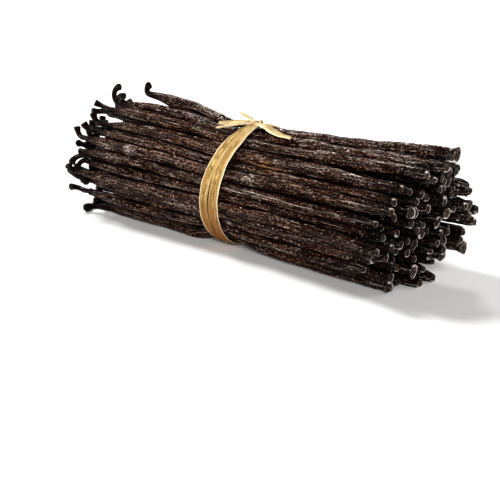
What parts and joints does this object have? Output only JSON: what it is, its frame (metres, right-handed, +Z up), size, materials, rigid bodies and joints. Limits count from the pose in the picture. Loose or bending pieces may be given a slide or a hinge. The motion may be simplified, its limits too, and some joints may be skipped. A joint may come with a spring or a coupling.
{
  "type": "bundle of vanilla pods",
  "caption": "Cured vanilla pods laid side by side and tied round the middle with a flat band of raffia, blunt tips at one end and curled stems at the other.",
  "frame": {"origin": "middle of the bounding box, on the plane the bundle lies on", "axes": "+Z up; the pods run along X, with their blunt blossom ends at +X and their curled stem ends at -X; +Y is the side away from the viewer when the blossom ends are to the right"},
  "size_m": [0.1979, 0.0642, 0.063],
  "materials": {
    "pods": "oily semi-gloss, wrinkled lengthwise, near-black brown",
    "raffia": "matt straw gold, fine lengthwise fibres"
  },
  "bodies": {
    "root": {"pods": "pods", "raffia_tie": "raffia"}
  },
  "joints": []
}
